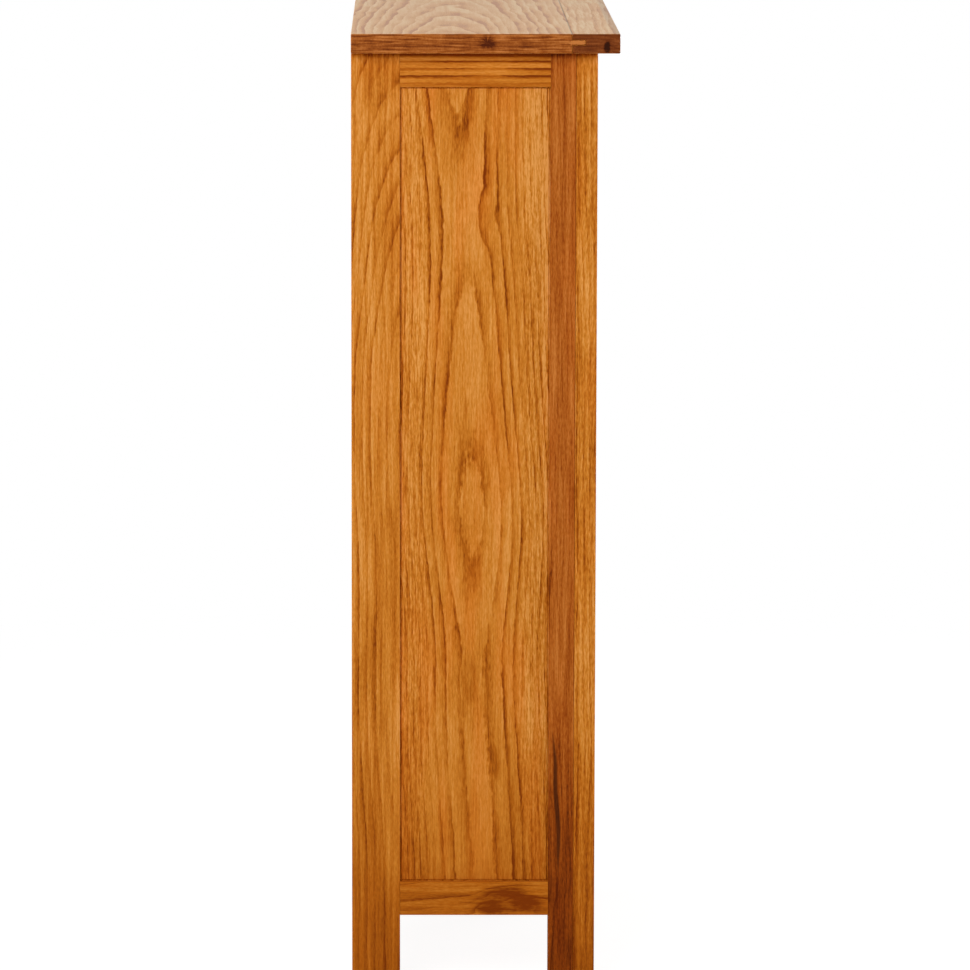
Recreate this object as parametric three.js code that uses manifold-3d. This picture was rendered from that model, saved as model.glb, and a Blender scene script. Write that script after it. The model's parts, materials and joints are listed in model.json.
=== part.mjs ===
// A small oak pantry cabinet: two side frames with floating panels, a face frame, a framed back,
// a tongued and grooved top, two loose shelves on pins and one inset door on butt hinges.
// Millimetres, +Z up. The front faces -Y and the left side faces -X. The origin lies on the
// floor under the middle of the top.
import * as THREE from 'three';
import { mergeVertices } from 'three/addons/utils/BufferGeometryUtils.js';
import Module from 'manifold-3d';

const wasm = await Module();
wasm.setup();

// Overall size
const cabinetWidth = 450;
const cabinetDepth = 225;
const cabinetHeight = 820;

// Top
const topThickness = 16.5;
const topFrontOverhang = 18;
const topSideOverhang = 20;
const topStripWidth = 40;
const topTongueLength = 11;
const topTongueThickness = 4;
const topTongueDepth = 5.3;
const topArris = 1;

// Side frames
const sideThickness = 20;
const backLegWidth = 41;
const frontLegWidth = 21.5;
const topRailHeight = 29.5;
const bottomRailHeight = 29;
const legClearHeight = 65;
const sideTenonLength = 14;
const sidePanelThickness = 9;
const sidePanelSetback = 4;

// Face frame
const faceThickness = 18;
const faceStileWidth = 40;
const faceTenonLength = 20;
const faceTenonThickness = 7;

// Back frame
const backRailThickness = 18;
const backTopRailHeight = 40;
const backPanelThickness = 6;
const backPanelSetback = 6;
const backTenonLength = 9;

// Joinery shared by all the frames
const grooveDepth = 8;
const backGrooveDepth = 6;
const panelPlay = 1.5;
const railShoulder = 5;
const fieldGap = 1.2;
const fieldRise = 2.6;
const legArris = 1.2;

// Clearances
const glueLine = 0.1;
const jointFit = 0.2;
const jointEndGap = 0.6;
const cutOverrun = 2;

// Battens under the top and cleats under the bottom board
const battenThickness = 20;
const sideBattenHeight = 18;
const cleatWidth = 15;
const bottomBoardThickness = 15;

// Shelves and shelf pins
const shelfThickness = 15;
const lowerShelfTop = 330;
const upperShelfTop = 555;
const shelfSideGap = 2;
const shelfFrontGap = 3.5;
const shelfBackGap = 1;
const shelfArris = 1.5;
const shelfRestGap = 0.2;
const shelfPinRadius = 2.5;
const shelfPinInsert = 6;
const shelfPinReach = 9;
const shelfPinCollarRadius = 4;
const shelfPinCollarThickness = 1.4;
const shelfPinInset = 10.8;
const shelfHolePitch = 32;
const shelfHolesPerRow = 3;

// Door
const doorThickness = 18;
const doorSetback = 3;
const doorGap = 2;
const doorStileWidth = 42;
const doorTopRailHeight = 42;
const doorBottomRailHeight = 50;
const doorPanelThickness = 8;
const doorPanelSetback = 4.5;
const doorTenonLength = 26;
const doorArris = 1;

// Butt hinges
const hingeInset = 80;
const leafHeight = 50;
const leafThickness = 1.6;
const leafReach = 14;
const leafSeat = 0.25;
const knuckleProud = 0.15;
const knuckleCount = 5;
const knuckleGap = 0.2;
const knuckleClearance = 0.3;
const hingeAxisProud = 1;
const hingePinRadius = 1.2;
const hingePinFit = 0.08;

// Knob and its screw
const knobHeight = 460;
const knobRadius = 13;
const knobProjection = 13.5;
const knobBaseRadius = 8;
const knobNeckRadius = 5.6;
const knobBaseThickness = 1.6;
const knobNeckHeight = 3.8;
const knobRimHeight = 9;
const screwRadius = 2;
const screwHeadRadius = 4.2;
const screwHeadHeight = 2.4;
const screwReach = 7;
const screwFit = 0.25;

// Magnetic catch
const catchFromLockEdge = 70;
const catchLength = 44;
const catchDepth = 13;
const catchHeight = 16;
const catchMagnetLength = 30;
const catchMagnetHeight = 8;
const catchMagnetDepth = 8;
const catchPoleThickness = 2;
const catchPoleProud = 0.8;
const strikeThickness = 1.2;
const strikeLength = 38;
const strikeHeight = 11;
const strikeGap = 0.3;

// How finely round forms are divided
const roundSides = 24;
const holeSides = 12;
const knobSides = 40;
const knobCurvePoints = 9;

// Planes and edges that the pieces share
const backY = cabinetDepth / 2;
const topFrontY = -cabinetDepth / 2;
const frontY = topFrontY + topFrontOverhang;
const outerX = cabinetWidth / 2 - topSideOverhang;
const innerX = outerX - sideThickness;
const topUnderside = cabinetHeight - topThickness;
const frameTop = topUnderside - glueLine;
const topRailLow = topUnderside - topRailHeight;
const bottomRailHigh = legClearHeight + bottomRailHeight;
const faceBackY = frontY + faceThickness;
const frontLeg = [faceBackY + glueLine, faceBackY + frontLegWidth];
const backLeg = [backY - backLegWidth, backY];
const backRail = [backY - backRailThickness, backY];
const openingX = outerX - faceStileWidth;
const doorFaceY = frontY + doorSetback;
const doorBackY = doorFaceY + doorThickness;
const doorX = openingX - doorGap;
const doorLow = bottomRailHigh + doorGap;
const doorHigh = topRailLow - doorGap;
const knuckleRadius = doorGap / 2 + leafThickness + knuckleProud;

const oak = (colour, roughness = 0.42) => new THREE.MeshStandardMaterial({
  color: colour, roughness, metalness: 0, flatShading: true,
});
const oakLeg = oak(0xc67b2a);
const oakPanel = oak(0xc47124);
const oakRail = oak(0xb7651f);
const oakDark = oak(0x9c4f1c);
const oakFace = oak(0xbd6e27);
const oakTop = oak(0xd1b092, 0.35);
const oakStrip = oak(0xa8683a, 0.35);
const oakInside = oak(0xc98742, 0.55);
const brass = new THREE.MeshStandardMaterial({ color: 0xb08a3e, roughness: 0.35, metalness: 1 });
const steel = new THREE.MeshStandardMaterial({ color: 0xb9bbbd, roughness: 0.3, metalness: 1 });
const plastic = new THREE.MeshStandardMaterial({ color: 0x6b4326, roughness: 0.5, metalness: 0 });

// Turns a closed three.js geometry into a solid that can be joined and cut.
function solidOf(geometry) {
  geometry.deleteAttribute('normal');
  geometry.deleteAttribute('uv');
  const merged = mergeVertices(geometry);
  return new wasm.Manifold(new wasm.Mesh({
    numProp: 3,
    vertProperties: new Float32Array(merged.attributes.position.array),
    triVerts: new Uint32Array(merged.index.array),
  }));
}

// Gives a solid's surface back as a named mesh.
function meshOf(name, solid, material) {
  const { vertProperties, triVerts } = solid.getMesh();
  const geometry = new THREE.BufferGeometry();
  geometry.setAttribute('position', new THREE.BufferAttribute(vertProperties, 3));
  geometry.setIndex(new THREE.BufferAttribute(triVerts, 1));
  geometry.computeVertexNormals();
  const mesh = new THREE.Mesh(geometry, material);
  mesh.name = name;
  return mesh;
}

// Stretches a geometry that is one unit long along an axis, so that its two ends lie exactly on
// the [low, high] range there.
function stretch(geometry, axis, [low, high]) {
  const { position } = geometry.attributes;
  const number = 'xyz'.indexOf(axis);
  geometry.computeBoundingBox();
  const middle = geometry.boundingBox.getCenter(new THREE.Vector3()).getComponent(number);
  for (let i = 0; i < position.count; i += 1) {
    position.setComponent(i, number, position.getComponent(i, number) < middle ? low : high);
  }
}

// A rectangular block from its [low, high] range along each axis.
function block(x, y, z) {
  const geometry = new THREE.BoxGeometry(1, 1, 1);
  stretch(geometry, 'x', x);
  stretch(geometry, 'y', y);
  stretch(geometry, 'z', z);
  return solidOf(geometry);
}

const span = (a, b) => [Math.min(a, b), Math.max(a, b)];
const around = (middle, size) => [middle - size / 2, middle + size / 2];
const wider = ([low, high], extra) => [low - extra, high + extra];

// A section extruded along an axis, with an optional hole through it. The section's two
// coordinates are the two axes that follow the named one in the order x, y, z, x, so a prism
// along x is drawn in (y, z).
function prism(axis, range, points, hole) {
  const shape = new THREE.Shape(points.map(([u, v]) => new THREE.Vector2(u, v)));
  if (hole) shape.holes.push(new THREE.Path(hole.map(([u, v]) => new THREE.Vector2(u, v))));
  const geometry = new THREE.ExtrudeGeometry(shape, { depth: 1, bevelEnabled: false });
  stretch(geometry, 'z', range);
  const [x, y, z] = [new THREE.Vector3(1, 0, 0), new THREE.Vector3(0, 1, 0), new THREE.Vector3(0, 0, 1)];
  const bases = { x: [y, z, x], y: [z, x, y], z: [x, y, z] };
  geometry.applyMatrix4(new THREE.Matrix4().makeBasis(...bases[axis]));
  return solidOf(geometry);
}

// The points of a rectangle whose listed corners are cut off at 45 degrees by the arris.
// Corners are numbered anticlockwise from low u, low v.
function easedRectangle([u0, u1], [v0, v1], arris, corners) {
  const sharp = [[u0, v0], [u1, v0], [u1, v1], [u0, v1]];
  const along = [[1, 0], [0, 1], [-1, 0], [0, -1]];
  return sharp.flatMap(([u, v], corner) => {
    if (!corners.includes(corner)) return [[u, v]];
    const [outU, outV] = along[corner];
    const [inU, inV] = along[(corner + 3) % 4];
    return [[u - inU * arris, v - inV * arris], [u + outU * arris, v + outV * arris]];
  });
}

// The section of a stepped slot that is cut into a face: a shallow groove between the outer ends
// of two deeper mortises. The inward direction from the face is +1 or -1.
function slotSection(face, inward, groove, mortise, [lowEnd, highEnd]) {
  const open = face - inward * cutOverrun;
  const shallow = face + inward * groove;
  const deep = face + inward * mortise;
  return [
    [open, lowEnd[0]], [deep, lowEnd[0]], [deep, lowEnd[1]], [shallow, lowEnd[1]],
    [shallow, highEnd[0]], [deep, highEnd[0]], [deep, highEnd[1]], [open, highEnd[1]],
  ];
}

const turnedOver = (section) => section.map(([u, v]) => [v, u]);

// A round bar along an axis through a point, between two planes.
function roundBar(axis, centre, radius, range, sides) {
  const geometry = new THREE.CylinderGeometry(radius, radius, 1, sides);
  if (axis === 'x') geometry.rotateZ(-Math.PI / 2);
  if (axis === 'z') geometry.rotateX(Math.PI / 2);
  geometry.translate(...centre);
  stretch(geometry, axis, range);
  return solidOf(geometry);
}

// A turned piece whose outline is given as (radius, height) with its height along -Y.
function turned(outline, sides) {
  const profile = outline.map(([radius, height]) => new THREE.Vector2(radius, height));
  const geometry = new THREE.LatheGeometry(profile, sides);
  geometry.rotateX(Math.PI);
  return solidOf(geometry);
}

const cabinet = new THREE.Group();
const place = (name, solid, material) => cabinet.add(meshOf(name, solid, material));

// Top: the main board carries a tongue along its front edge, and the front strip is grooved for it.
const topX = [-cabinetWidth / 2, cabinetWidth / 2];
const topZ = [topUnderside, cabinetHeight];
const seamY = topFrontY + topStripWidth;
const tongueZ = [cabinetHeight - topTongueDepth - topTongueThickness, cabinetHeight - topTongueDepth];
const easedEnds = prism('y', [topFrontY, backY], easedRectangle(topZ, topX, topArris, [0, 1, 2, 3]));

function topMainBoard() {
  const board = prism('x', topX, easedRectangle([seamY, backY], topZ, topArris, [1, 2]));
  const tongue = block(topX, [seamY - topTongueLength, seamY + cutOverrun], tongueZ);
  return board.add(tongue).intersect(easedEnds);
}

function topFrontStrip() {
  const strip = prism('x', topX, easedRectangle([topFrontY, seamY - glueLine], topZ, topArris, [0, 3]));
  const grooveY = [seamY - topTongueLength - jointEndGap, seamY + cutOverrun];
  return strip.subtract(block(wider(topX, cutOverrun), grooveY, wider(tongueZ, jointFit)))
    .intersect(easedEnds);
}

place('top_main_board', topMainBoard(), oakTop);
place('top_front_strip', topFrontStrip(), oakStrip);

// Side frames: two grooved legs, two rails tenoned into them and a floating panel, one of each side.
const sideTopTenonZ = [topRailLow + grooveDepth, frameTop - railShoulder];
const sideBottomTenonZ = [legClearHeight + railShoulder, bottomRailHigh - grooveDepth];

// The range across a side frame between two depths measured inwards from its outer face.
const inFromSide = (side, from, to) => span(side * (outerX - from), side * (outerX - to));

// The thin edge of a side panel and the rails' tenons share these depths, so one groove takes both.
const sideTongueFront = sidePanelSetback + fieldRise;
const sidePanelBack = sidePanelSetback + sidePanelThickness;
const sideSlotX = (side) => inFromSide(side, sideTongueFront - jointFit, sidePanelBack + jointFit);

// Cuts a leg's groove for the side panel and its mortises for the two side rails, which all run
// in from the leg's face at faceY, and whose direction into the leg is +1 or -1 along Y.
function cutForSideFrame(leg, side, faceY, inward) {
  const mortise = sideTenonLength + jointEndGap;
  const mortises = [wider(sideBottomTenonZ, jointFit), wider(sideTopTenonZ, jointFit)];
  const section = slotSection(faceY, inward, grooveDepth, mortise, mortises);
  return leg.subtract(prism('x', sideSlotX(side), section));
}

// Drills the rows of blind holes for the shelf pins, from the inner face of a leg.
function drillShelfHoles(leg, side, holeY) {
  const holeX = span(side * (innerX - cutOverrun), side * (innerX + shelfPinInsert + jointEndGap));
  for (const shelfTop of [lowerShelfTop, upperShelfTop]) {
    for (let hole = 0; hole < shelfHolesPerRow; hole += 1) {
      const step = hole - (shelfHolesPerRow - 1) / 2;
      const centre = [0, holeY, shelfPinZ(shelfTop) + step * shelfHolePitch];
      leg = leg.subtract(roundBar('x', centre, shelfPinRadius + jointFit, holeX, holeSides));
    }
  }
  return leg;
}

const shelfPinZ = (shelfTop) => shelfTop - shelfThickness - shelfRestGap - shelfPinRadius;
const frontPinY = frontLeg[1] - shelfPinInset;
const backPinY = backLeg[0] + shelfPinInset;
const backPanelY = [
  backY - backPanelSetback - backPanelThickness, backY - backPanelSetback,
];
const backTenonY = backPanelY;
const backGrooveZ = [bottomRailHigh - backGrooveDepth, topUnderside - backTopRailHeight + backGrooveDepth];
const backTopTenonZ = [backGrooveZ[1], frameTop - railShoulder];
const backBottomTenonZ = [legClearHeight + railShoulder, backGrooveZ[0]];

function frontLegSolid(side) {
  const x = inFromSide(side, 0, sideThickness);
  const leg = cutForSideFrame(block(x, frontLeg, [0, frameTop]), side, frontLeg[1], -1);
  return drillShelfHoles(leg, side, frontPinY);
}

function backLegSolid(side) {
  const x = inFromSide(side, 0, sideThickness);
  const section = easedRectangle(x, backLeg, legArris, [2, 3]);
  const leg = cutForSideFrame(prism('z', [0, frameTop], section), side, backLeg[0], 1);
  const mortise = backTenonLength + jointEndGap;
  const mortises = [wider(backBottomTenonZ, jointFit), wider(backTopTenonZ, jointFit)];
  const slot = turnedOver(slotSection(side * innerX, side, backGrooveDepth, mortise, mortises));
  const cut = leg.subtract(prism('y', wider(backPanelY, jointFit), slot));
  return drillShelfHoles(cut, side, backPinY);
}

function sideRail(side, z, tenonZ, grooveZ) {
  const railY = [frontLeg[1] + glueLine, backLeg[0] - glueLine];
  const tenonX = inFromSide(side, sideTongueFront, sidePanelBack);
  return block(inFromSide(side, 0, sideThickness), railY, z)
    .add(block(tenonX, [frontLeg[1] - sideTenonLength, backLeg[0] + sideTenonLength], tenonZ))
    .subtract(block(sideSlotX(side), wider(railY, cutOverrun), grooveZ));
}

// A floating panel: its thin edges run into the grooves, and the field in the middle stands proud
// of them and stops short of the frame, so that a narrow gap runs all round it.
function sidePanel(side) {
  const held = grooveDepth - panelPlay;
  const y = [frontLeg[1], backLeg[0]];
  const z = [bottomRailHigh, topRailLow];
  const tongueX = inFromSide(side, sideTongueFront, sidePanelBack);
  const fieldX = inFromSide(side, sidePanelSetback, sidePanelBack);
  return block(tongueX, wider(y, held), wider(z, held))
    .add(block(fieldX, wider(y, -fieldGap), wider(z, -fieldGap)));
}

for (const [hand, side] of [['left', -1], ['right', 1]]) {
  const topRailGroove = [topRailLow - cutOverrun, topRailLow + grooveDepth];
  const bottomRailGroove = [bottomRailHigh - grooveDepth, bottomRailHigh + cutOverrun];
  place(`back_leg_${hand}`, backLegSolid(side), oakLeg);
  place(`front_leg_${hand}`, frontLegSolid(side), oakDark);
  place(`side_top_rail_${hand}`,
    sideRail(side, [topRailLow, frameTop], sideTopTenonZ, topRailGroove), oakRail);
  place(`side_bottom_rail_${hand}`,
    sideRail(side, [legClearHeight, bottomRailHigh], sideBottomTenonZ, bottomRailGroove), oakRail);
  place(`side_panel_${hand}`, sidePanel(side), oakPanel);
}

// Face frame: two stiles glued to the front legs, with two rails tenoned between them.
const hingeAxisX = -(openingX - doorGap / 2);
const hingeAxisY = doorFaceY - hingeAxisProud;
const hingeHeights = [doorLow + hingeInset, doorHigh - hingeInset];
const faceTenonY = around((frontY + faceBackY) / 2, faceTenonThickness);
const faceRailZ = { top: [topRailLow, frameTop], bottom: [legClearHeight, bottomRailHigh] };

const faceTenonZ = ([low, high]) => [low + railShoulder, high - railShoulder];

function faceStile(side) {
  const x = span(side * openingX, side * outerX);
  const section = easedRectangle(x, [frontY, faceBackY], legArris, [0, 1]);
  const depth = faceTenonLength + jointEndGap;
  const mortiseX = span(side * (openingX - cutOverrun), side * (openingX + depth));
  let stile = prism('z', [0, frameTop], section);
  for (const railZ of Object.values(faceRailZ)) {
    const mortiseZ = wider(faceTenonZ(railZ), jointFit);
    stile = stile.subtract(block(mortiseX, wider(faceTenonY, jointFit), mortiseZ));
  }
  return stile;
}

// Lets a hinge leaf and its knuckles into the edge of the wood, edgeX, on one side of the gap.
function cutHingeSeats(stile, edgeX, side) {
  const x = span(edgeX - side * doorGap / 2, edgeX + side * (leafThickness + leafSeat));
  const y = [frontY - cutOverrun, hingeAxisY + leafReach + leafSeat];
  for (const height of hingeHeights) {
    stile = stile.subtract(block(x, y, around(height, leafHeight + 2 * leafSeat)));
  }
  return stile;
}

function faceRail(z) {
  const x = [-openingX + glueLine, openingX - glueLine];
  const tenonX = wider([-openingX, openingX], faceTenonLength);
  return block(x, [frontY, faceBackY], z).add(block(tenonX, faceTenonY, faceTenonZ(z)));
}

place('face_stile_left', cutHingeSeats(faceStile(-1), -openingX, -1), oakFace);
place('face_stile_right', faceStile(1), oakFace);
place('face_top_rail', faceRail(faceRailZ.top), oakRail);
place('face_bottom_rail', faceRail(faceRailZ.bottom), oakRail);

// Back: two rails tenoned into the back legs, and a thin panel in grooves all round.
function backRailSolid(z, tenonZ, grooveZ) {
  const x = [-innerX + glueLine, innerX - glueLine];
  const tenonX = wider([-innerX, innerX], backTenonLength);
  return block(x, backRail, z)
    .add(block(tenonX, backTenonY, tenonZ))
    .subtract(block(wider(x, cutOverrun), wider(backPanelY, jointFit), grooveZ));
}

function backPanel() {
  const held = backGrooveDepth - panelPlay;
  const z = [bottomRailHigh - held, topUnderside - backTopRailHeight + held];
  return block(wider([-innerX, innerX], held), backPanelY, z);
}

const backTopRailZ = [topUnderside - backTopRailHeight, frameTop];
place('back_top_rail',
  backRailSolid(backTopRailZ, backTopTenonZ, [backTopRailZ[0] - cutOverrun, backGrooveZ[1]]), oakRail);
place('back_bottom_rail',
  backRailSolid(faceRailZ.bottom, backBottomTenonZ, [backGrooveZ[0], bottomRailHigh + cutOverrun]),
  oakRail);
place('back_panel', backPanel(), oakInside);

// Inside: the bottom board on its two cleats, and the battens that hold the top.
const insideX = [-innerX + glueLine, innerX - glueLine];
const insideY = [faceBackY + glueLine, backRail[0] - glueLine];
const bottomBoardZ = [bottomRailHigh - bottomBoardThickness, bottomRailHigh];
const frontBattenY = [insideY[0], insideY[0] + battenThickness];

place('bottom_board', block(insideX, insideY, bottomBoardZ), oakInside);
place('top_batten_front', block(insideX, frontBattenY, [topRailLow, frameTop]), oakInside);
for (const [hand, side] of [['left', -1], ['right', 1]]) {
  const edge = side * (innerX - glueLine);
  const cleatY = [insideY[0], insideY[1]];
  const cleatZ = [legClearHeight, bottomBoardZ[0] - glueLine];
  const battenY = [frontBattenY[1] + glueLine, insideY[1]];
  const battenZ = [frameTop - sideBattenHeight, frameTop];
  place(`bottom_cleat_${hand}`, block(span(edge, edge - side * cleatWidth), cleatY, cleatZ), oakInside);
  place(`top_batten_${hand}`, block(span(edge, edge - side * battenThickness), battenY, battenZ), oakInside);
}

// Shelves: loose boards with an eased front edge, each resting on four pins.
const shelfX = [-innerX + shelfSideGap, innerX - shelfSideGap];
const shelfY = [doorBackY + shelfFrontGap, backRail[0] - shelfBackGap];
const shelfSection = easedRectangle(shelfY, [-shelfThickness, 0], shelfArris, [0, 3]);

// A pin lies along X with its collar's back against the leg at x = 0 and its reach towards +X.
function shelfPin() {
  const collarX = [glueLine, glueLine + shelfPinCollarThickness];
  const shankX = [-shelfPinInsert, shelfPinReach];
  return roundBar('x', [0, 0, 0], shelfPinRadius, shankX, roundSides)
    .add(roundBar('x', [0, 0, 0], shelfPinCollarRadius, collarX, roundSides));
}

for (const [level, shelfTop] of [['lower', lowerShelfTop], ['upper', upperShelfTop]]) {
  const shelf = meshOf(`${level}_shelf`, prism('x', shelfX, shelfSection), oakInside);
  shelf.position.z = shelfTop;
  cabinet.add(shelf);
  for (const [hand, side] of [['left', -1], ['right', 1]]) {
    for (const [end, y] of [['front', frontPinY], ['back', backPinY]]) {
      const pin = meshOf(`${level}_shelf_pin_${end}_${hand}`, shelfPin(), steel);
      pin.position.set(side * innerX, y, shelfPinZ(shelfTop));
      pin.rotation.z = side < 0 ? 0 : Math.PI;
      cabinet.add(pin);
    }
  }
}

// Door: a frame with mortise and tenon joints round a floating panel.
const doorInnerX = doorX - doorStileWidth;
const doorY = [doorFaceY, doorBackY];
const doorFieldY = [doorFaceY + doorPanelSetback, doorFaceY + doorPanelSetback + doorPanelThickness];
const doorTongueY = [doorFieldY[0] + fieldRise, doorFieldY[1]];
const doorTopRailZ = [doorHigh - doorTopRailHeight, doorHigh];
const doorBottomRailZ = [doorLow, doorLow + doorBottomRailHeight];
const doorGrooveZ = [doorBottomRailZ[1] - grooveDepth, doorTopRailZ[0] + grooveDepth];
const doorTopTenonZ = [doorGrooveZ[1], doorHigh - railShoulder];
const doorBottomTenonZ = [doorLow + railShoulder, doorGrooveZ[0]];
const knobX = doorX - doorStileWidth / 2;

function doorStile(side) {
  const x = span(side * doorInnerX, side * doorX);
  const outerCorner = side < 0 ? 0 : 1;
  const mortise = doorTenonLength + jointEndGap;
  const mortises = [wider(doorBottomTenonZ, jointFit), wider(doorTopTenonZ, jointFit)];
  const slot = turnedOver(slotSection(side * doorInnerX, side, grooveDepth, mortise, mortises));
  return prism('z', [doorLow, doorHigh], easedRectangle(x, doorY, doorArris, [outerCorner]))
    .subtract(prism('y', wider(doorTongueY, jointFit), slot));
}

function doorRail(z, tenonZ, grooveZ) {
  const x = [-doorInnerX + glueLine, doorInnerX - glueLine];
  const tenonX = wider([-doorInnerX, doorInnerX], doorTenonLength);
  return block(x, doorY, z)
    .add(block(tenonX, doorTongueY, tenonZ))
    .subtract(block(wider(x, cutOverrun), wider(doorTongueY, jointFit), grooveZ));
}

function doorPanel() {
  const held = grooveDepth - panelPlay;
  const x = [-doorInnerX, doorInnerX];
  const z = [doorBottomRailZ[1], doorTopRailZ[0]];
  return block(wider(x, held), doorTongueY, wider(z, held))
    .add(block(wider(x, -fieldGap), doorFieldY, wider(z, -fieldGap)));
}

const screwHole = roundBar(
  'y', [knobX, 0, knobHeight], screwRadius + screwFit, wider(doorY, cutOverrun), holeSides,
);
place('door_hinge_stile', cutHingeSeats(doorStile(-1), -doorX, 1), oakLeg);
place('door_lock_stile', doorStile(1).subtract(screwHole), oakFace);
place('door_top_rail',
  doorRail(doorTopRailZ, doorTopTenonZ, [doorTopRailZ[0] - cutOverrun, doorGrooveZ[1]]), oakRail);
place('door_bottom_rail',
  doorRail(doorBottomRailZ, doorBottomTenonZ, [doorGrooveZ[0], doorBottomRailZ[1] + cutOverrun]),
  oakRail);
place('door_panel', doorPanel(), oakPanel);

// Butt hinges: each has its origin on the pin's axis at mid height, the frame leaf towards -X and
// the door leaf towards +X. The knuckles take turns, the frame leaf holding both end ones.
const knuckleHeight = (leafHeight - (knuckleCount - 1) * knuckleGap) / knuckleCount;

// The section of a leaf with its knuckle: a flat plate whose outer and inner faces run into the
// knuckle's circle, which goes round the pin from the one to the other.
function leafSection(side) {
  const inner = doorGap / 2;
  const outer = inner + leafThickness;
  const from = Math.acos(outer / knuckleRadius);
  const to = Math.acos(inner / knuckleRadius) - 2 * Math.PI;
  const arc = Array.from({ length: roundSides + 1 }, (_, i) => {
    const angle = from + (to - from) * (i / roundSides);
    return [side * knuckleRadius * Math.cos(angle), knuckleRadius * Math.sin(angle)];
  });
  return [[side * inner, leafReach], [side * outer, leafReach], ...arc];
}

const circle = (radius, sides) => Array.from({ length: sides }, (_, i) => {
  const angle = (i / sides) * 2 * Math.PI;
  return [radius * Math.cos(angle), radius * Math.sin(angle)];
});

function hingeLeaf(side, firstGap) {
  const bore = circle(hingePinRadius + hingePinFit, roundSides);
  let leaf = prism('z', around(0, leafHeight), leafSection(side), bore);
  const reach = knuckleRadius + knuckleClearance;
  for (let gap = firstGap; gap < knuckleCount; gap += 2) {
    const low = -leafHeight / 2 + gap * (knuckleHeight + knuckleGap) - knuckleGap;
    const z = [gap === 0 ? low - cutOverrun : low, low + knuckleHeight + 2 * knuckleGap];
    if (gap === knuckleCount - 1) z[1] += cutOverrun;
    leaf = leaf.subtract(block([-reach, reach], [-reach, reach], z));
  }
  return leaf;
}

for (const [level, height] of [['lower', hingeHeights[0]], ['upper', hingeHeights[1]]]) {
  const hinge = new THREE.Group();
  const pin = roundBar('z', [0, 0, 0], hingePinRadius, around(0, leafHeight), roundSides);
  hinge.add(meshOf(`${level}_hinge_frame_leaf`, hingeLeaf(-1, 1), brass));
  hinge.add(meshOf(`${level}_hinge_door_leaf`, hingeLeaf(1, 0), brass));
  hinge.add(meshOf(`${level}_hinge_pin`, pin, steel));
  hinge.position.set(hingeAxisX, hingeAxisY, height);
  cabinet.add(hinge);
}

// Knob: turned oak with a foot, a waist, a rim and a domed face, bored for its screw.
function knobOutline() {
  const foot = [[knobBaseRadius, 0], [knobBaseRadius, knobBaseThickness]];
  const waist = [knobNeckRadius, knobNeckHeight];
  const dome = Array.from({ length: knobCurvePoints }, (_, i) => {
    const angle = (i / (knobCurvePoints - 1)) * (Math.PI / 2);
    const radius = knobRadius * Math.cos(angle);
    return [radius, knobRimHeight + (knobProjection - knobRimHeight) * Math.sin(angle)];
  });
  const flare = Array.from({ length: knobCurvePoints - 1 }, (_, i) => {
    const angle = (i / (knobCurvePoints - 1)) * (Math.PI / 2);
    const radius = knobNeckRadius + (knobRadius - knobNeckRadius) * (1 - Math.cos(angle));
    return [radius, knobNeckHeight + (knobRimHeight - knobNeckHeight) * Math.sin(angle)];
  });
  const bore = [[0, screwReach + jointEndGap], [screwRadius + screwFit, screwReach + jointEndGap]];
  const boreMouth = [screwRadius + screwFit, 0];
  dome[dome.length - 1][0] = 0;
  return [...bore, boreMouth, ...foot, waist, ...flare.slice(1), ...dome];
}

function screwOutline() {
  const shank = doorThickness + glueLine + screwReach;
  return [
    [0, -screwHeadHeight], [screwHeadRadius * Math.SQRT1_2, -screwHeadHeight],
    [screwHeadRadius, -screwHeadHeight / 2], [screwHeadRadius, 0], [screwRadius, 0],
    [screwRadius, shank], [0, shank],
  ];
}

const knob = meshOf('knob', turned(knobOutline(), knobSides), oakDark);
knob.position.set(knobX, doorFaceY - glueLine, knobHeight);
const knobScrew = meshOf('knob_screw', turned(screwOutline(), roundSides), steel);
knobScrew.position.set(knobX, doorBackY + glueLine, knobHeight);
cabinet.add(knob, knobScrew);

// Magnetic catch: a case screwed under the front batten holds a magnet between two steel poles,
// and a strike plate on the back of the door meets the poles.
const catchX = doorX - catchFromLockEdge;
const poleY = doorBackY + glueLine + strikeThickness + strikeGap;
const catchY = [poleY + catchPoleProud, poleY + catchPoleProud + catchDepth];
const catchZ = [topRailLow - glueLine - catchHeight, topRailLow - glueLine];
const catchMiddleZ = topRailLow - glueLine - catchHeight / 2;
const magnetX = around(catchX, catchMagnetLength);
const magnetZ = around(catchMiddleZ, catchMagnetHeight);

function catchMagnet() {
  const back = catchY[0] + catchMagnetDepth;
  const betweenPoles = wider(magnetZ, -catchPoleThickness);
  return block(magnetX, [poleY, back], magnetZ)
    .subtract(block(wider(magnetX, cutOverrun), [poleY - cutOverrun, catchY[0]], betweenPoles));
}

function catchCase() {
  const pocketY = [catchY[0] - cutOverrun, catchY[0] + catchMagnetDepth + jointFit];
  return block(around(catchX, catchLength), catchY, catchZ)
    .subtract(block(wider(magnetX, jointFit), pocketY, wider(magnetZ, jointFit)));
}

const strikeY = [doorBackY + glueLine, doorBackY + glueLine + strikeThickness];
place('catch_case', catchCase(), plastic);
place('catch_magnet', catchMagnet(), steel);
place('strike_plate',
  block(around(catchX, strikeLength), strikeY, around(catchMiddleZ, strikeHeight)), steel);

export default cabinet;
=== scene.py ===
# A small oak pantry cabinet, seen square to its left side: two framed sides with floating panels,
# a face frame, a framed back, a tongued and grooved top, two shelves and one inset door.
# Metres, +Z up. The front faces -Y and the left side faces -X.
import json

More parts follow.
